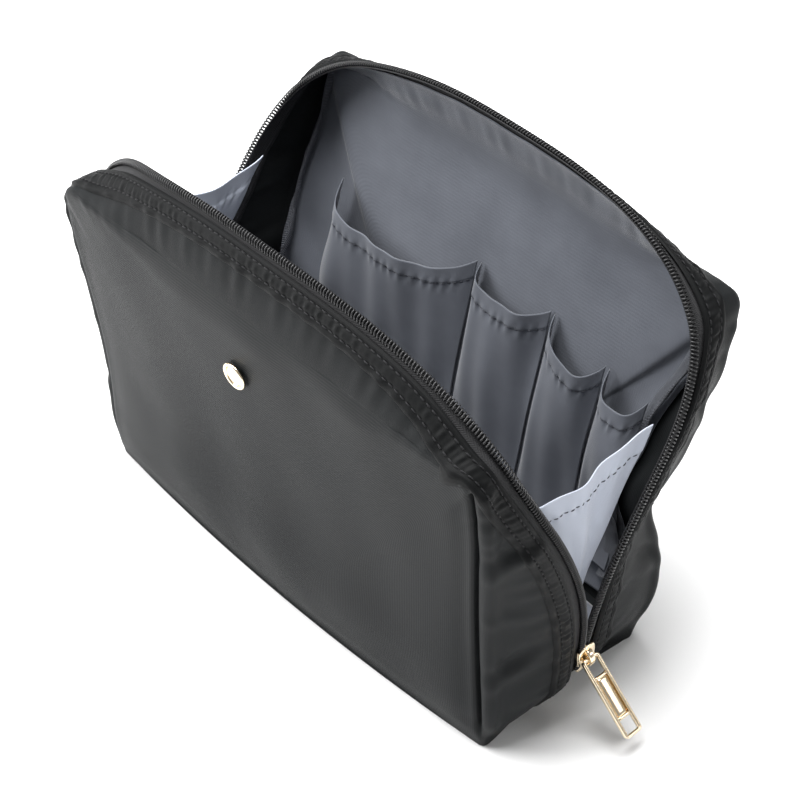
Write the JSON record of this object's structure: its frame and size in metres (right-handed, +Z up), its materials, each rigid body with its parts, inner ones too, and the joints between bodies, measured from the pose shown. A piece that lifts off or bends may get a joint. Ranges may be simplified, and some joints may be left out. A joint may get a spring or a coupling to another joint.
{
  "type": "makeup bag",
  "caption": "Soft boxy makeup bag standing open, two halves tilted apart on a flat base, zip arch with a hanging metal pull, grey lining with end webs and slip pockets along the back wall",
  "frame": {"origin": "centre of the base's underside, on the surface that the bag stands on", "axes": "+X runs along the bag's long side towards the zip pull, -Y is the front face with the stud, +Z is up"},
  "size_m": [0.2972, 0.1561, 0.1969],
  "materials": {
    "shell_fabric": "satin woven nylon",
    "padding": "thin closed foam",
    "lining": "smooth satin weave",
    "end_webs": "smooth satin weave, lighter",
    "zip_tape": "herringbone woven tape",
    "zip_coil": "black nylon coil",
    "binding": "ribbed tape",
    "gold_metal": "polished pale gold plating"
  },
  "bodies": {
    "base": {"outer_base": "shell_fabric", "padding_base": "padding", "lining_base": "lining", "end_gusset_right": "shell_fabric", "end_gusset_left": "shell_fabric", "zip_foot_right": "zip_coil", "zip_foot_left": "zip_coil", "zip_bottom_stop": "gold_metal", "zip_top_stops": "gold_metal", "end_web_right": "end_webs", "end_web_left": "end_webs"},
    "front_half": {"outer_front": "shell_fabric", "padding_front": "padding", "lining_front": "lining", "zip_band_front": "shell_fabric", "zip_tape_front": "zip_tape", "zip_coil_front": "zip_coil", "stud_cap": "gold_metal", "stud_washer": "gold_metal", "seam_binding_front_left": "binding", "seam_binding_front_right": "binding"},
    "back_half": {"outer_back": "shell_fabric", "padding_back": "padding", "lining_back": "lining", "zip_band_back": "shell_fabric", "zip_tape_back": "zip_tape", "zip_coil_back": "zip_coil", "seam_binding_back_left": "binding", "seam_binding_back_right": "binding", "pocket_wide": "lining", "pocket_brush": "lining", "pocket_slim": "lining", "pocket_end": "lining"},
    "slider": {"slider_body": "gold_metal"},
    "pull": {"zip_pull": "gold_metal"}
  },
  "joints": [
    {"name": "front_tilt", "type": "hinge", "parent": "base", "child": "front_half", "pos_m": [0, -0.045, 0], "axis": [-1, 0, 0], "range_deg": [0, 14.7], "deforming": ["end_gusset_right", "end_gusset_left", "zip_foot_right", "zip_foot_left", "end_web_right", "end_web_left"]},
    {"name": "back_tilt", "type": "hinge", "parent": "base", "child": "back_half", "pos_m": [0, 0.045, 0], "axis": [1, 0, 0], "range_deg": [0, 21.8], "deforming": ["end_gusset_right", "end_gusset_left", "zip_foot_right", "zip_foot_left", "end_web_right", "end_web_left"]},
    {"name": "slider_run", "type": "slide", "parent": "base", "child": "slider", "axis": [0.0665, 0, 0.9978], "range_m": [0, 0.06], "deforming": ["zip_foot_right", "end_gusset_right"]},
    {"name": "pull_swing", "type": "hinge", "parent": "slider", "child": "pull", "pos_m": [0.1352, 0, 0.033], "axis": [0, -1, 0], "range_deg": [-20, 90]}
  ],
  "couplings": [
    {"joint": "back_tilt", "follows": "front_tilt", "ratio": 1.482},
    {"joint": "slider_run", "follows": "front_tilt", "m_per_rad": 0.2335}
  ]
}
